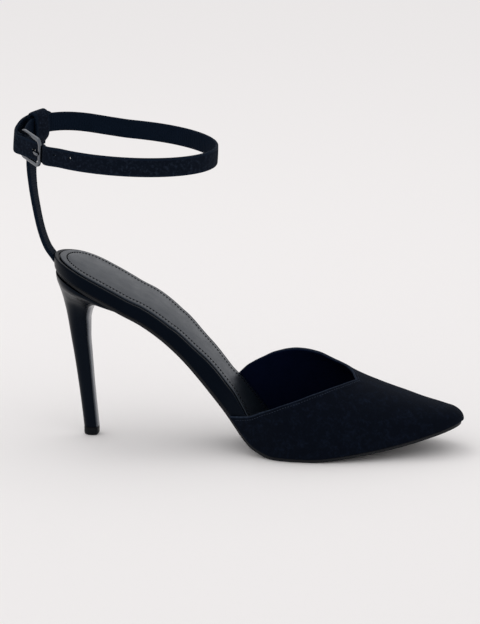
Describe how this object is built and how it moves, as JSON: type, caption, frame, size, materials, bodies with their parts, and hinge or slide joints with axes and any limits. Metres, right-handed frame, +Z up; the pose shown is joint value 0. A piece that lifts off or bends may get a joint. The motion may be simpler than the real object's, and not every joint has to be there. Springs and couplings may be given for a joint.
{
  "type": "ankle strap pump",
  "caption": "Pointed high-heeled pump, open at one side and the back, with a strap up the back that carries a buckled ankle strap.",
  "frame": {"origin": "on the floor, under the middle of the whole shoe's box", "axes": "+X from heel to toe, +Y from the outer to the inner side of the foot, +Z up"},
  "size_m": [0.2506, 0.0838, 0.1851],
  "materials": {
    "suede": "matte",
    "leather": "satin",
    "sock_leather": "satin",
    "sole_rubber": "matte",
    "buckle_metal": "polished"
  },
  "bodies": {
    "root": {"outsole": "sole_rubber", "footbed": "leather", "insole_sock": "sock_leather", "upper": "suede", "heel": "leather", "top_lift": "sole_rubber", "back_strap": "suede", "ankle_strap": "suede", "buckle_frame": "buckle_metal", "buckle_prong": "buckle_metal"}
  },
  "joints": []
}
